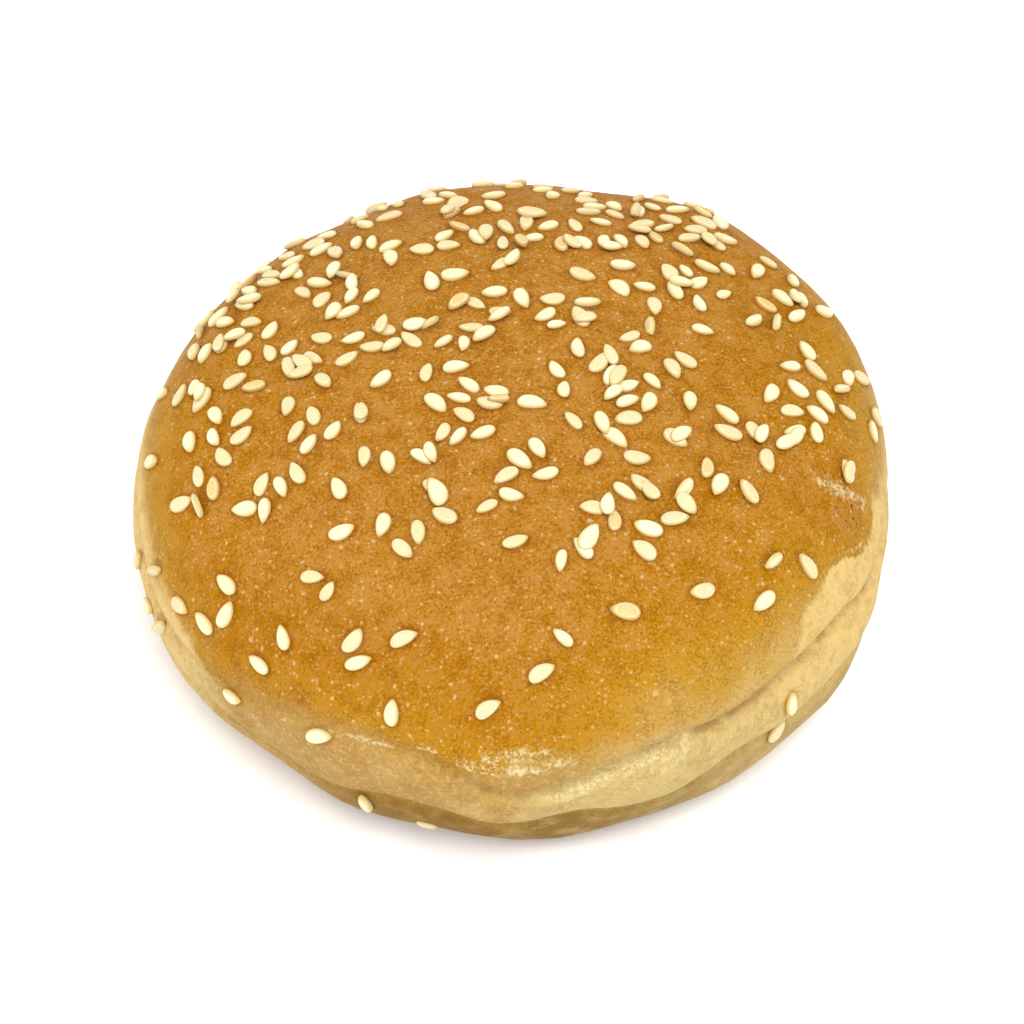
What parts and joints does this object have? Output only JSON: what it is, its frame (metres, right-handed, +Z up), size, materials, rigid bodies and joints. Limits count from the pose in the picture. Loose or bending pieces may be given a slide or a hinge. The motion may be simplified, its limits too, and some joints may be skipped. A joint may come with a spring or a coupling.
{
  "type": "sesame bun",
  "caption": "Round domed bread bun with a browned crown, a paler creased side and sesame seeds fused to the crust.",
  "frame": {"origin": "middle of the flat underside, on the surface the bun rests on", "axes": "+Z up through the crown, -Y towards the front shown in the picture, +X to its right"},
  "size_m": [0.0902, 0.0915, 0.0388],
  "materials": {
    "crust": "baked bread crust, golden brown on the crown and pale at the side, soft sheen",
    "seed": "hulled sesame seed, cream, slight sheen"
  },
  "bodies": {
    "root": {"bun": "crust"}
  },
  "joints": []
}
